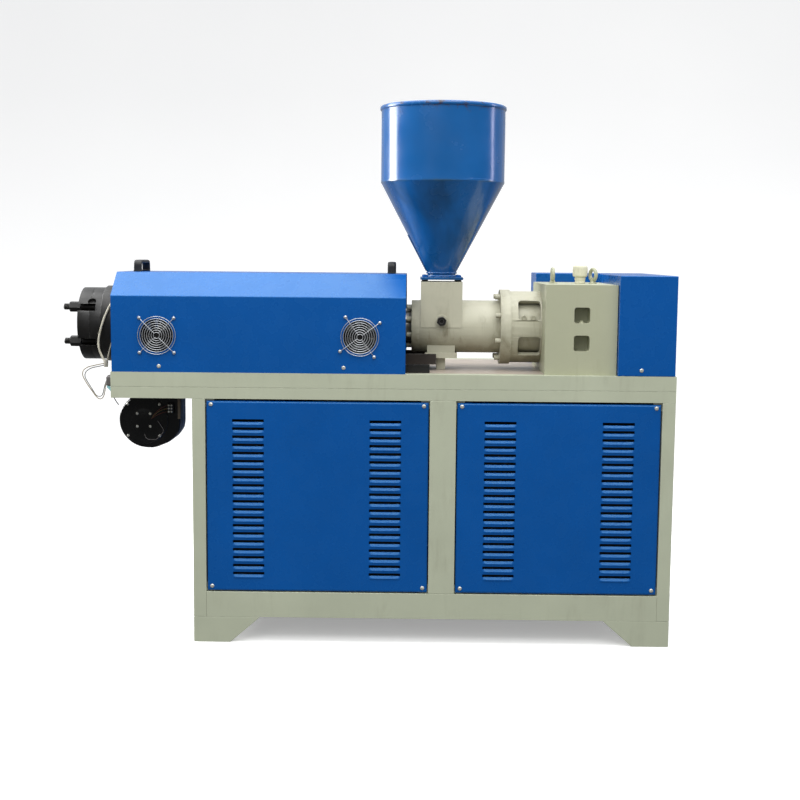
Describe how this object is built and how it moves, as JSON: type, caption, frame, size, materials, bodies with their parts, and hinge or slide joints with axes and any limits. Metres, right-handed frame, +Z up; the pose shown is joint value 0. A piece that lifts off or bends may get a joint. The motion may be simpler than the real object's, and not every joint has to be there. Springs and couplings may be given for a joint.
{
  "type": "single-screw plastic extruder",
  "caption": "Single-screw plastic extruder on a welded cabinet table: hooded heated barrel with die flange, feed hopper, bell housing, gearbox, belt guard and slung blower.",
  "frame": {"origin": "centre of the bounding box of the machine without its free leads, on the floor under the feet", "axes": "+Z up; +X along the screw from the die end towards the gearbox; +Y from the operator side with the fans to the back"},
  "size_m": [1.9, 0.664, 1.66],
  "materials": {
    "frame_paint": "satin enamel",
    "blue_paint": "gloss enamel",
    "cast_paint": "enamel on castings",
    "black_steel": "blackened steel",
    "machined_steel": "machined",
    "bright_fasteners": "zinc plated",
    "chrome_wire": "bright plated",
    "black_plastic": "moulded",
    "dark_sheet": "heat-stained sheet",
    "blower_black": "gloss black",
    "breather_plastic": "painted",
    "sleeve": "woven glass sleeving",
    "thin_wire": "insulated wire",
    "ceramic": "ceramic blocks"
  },
  "bodies": {
    "root": {"front_beam": "frame_paint", "rear_beam": "frame_paint", "cross_beams": "frame_paint", "table_plate": "frame_paint", "legs": "frame_paint", "floor_rails": "frame_paint", "feet": "frame_paint", "panel_lugs": "frame_paint", "front_panel_left": "blue_paint", "front_panel_right": "blue_paint", "rear_panel_left": "blue_paint", "rear_panel_right": "blue_paint", "end_panels": "blue_paint", "barrel_hood": "blue_paint", "belt_guard": "blue_paint", "hopper_drum": "blue_paint", "hopper_cone": "blue_paint", "hopper_rim": "blue_paint", "hopper_flange_plate": "blue_paint", "hopper_bolts": "blue_paint", "feed_housing": "cast_paint", "feed_support": "cast_paint", "bell_housing": "cast_paint", "gearbox_case": "cast_paint", "bearing_housing": "cast_paint", "flange_bolts": "cast_paint", "eyebolts": "cast_paint", "die_flange": "black_steel", "barrel_collar": "black_steel", "die_studs": "black_steel", "die_nuts": "black_steel", "barrel": "machined_steel", "extruder_screw": "machined_steel", "heater_bands": "machined_steel", "cover_screws": "bright_fasteners", "blower_bolts": "bright_fasteners", "fan_guards": "chrome_wire", "fans": "black_plastic", "hood_handles": "black_plastic", "cable_trunking": "black_plastic", "beam_gland": "black_plastic", "cable_tie": "black_plastic", "blower_terminals": "black_plastic", "water_plug": "black_plastic", "hood_tray": "dark_sheet", "tray_runners": "dark_sheet", "blower_scroll": "blower_black", "blower_cover": "blower_black", "blower_motor": "blower_black", "breather_cap": "breather_plastic", "heater_lead": "sleeve", "band_lead": "sleeve", "sensor_lead_outer": "thin_wire", "sensor_lead_inner": "thin_wire", "stub_lead": "thin_wire", "lead_terminals": "ceramic"}
  },
  "joints": []
}
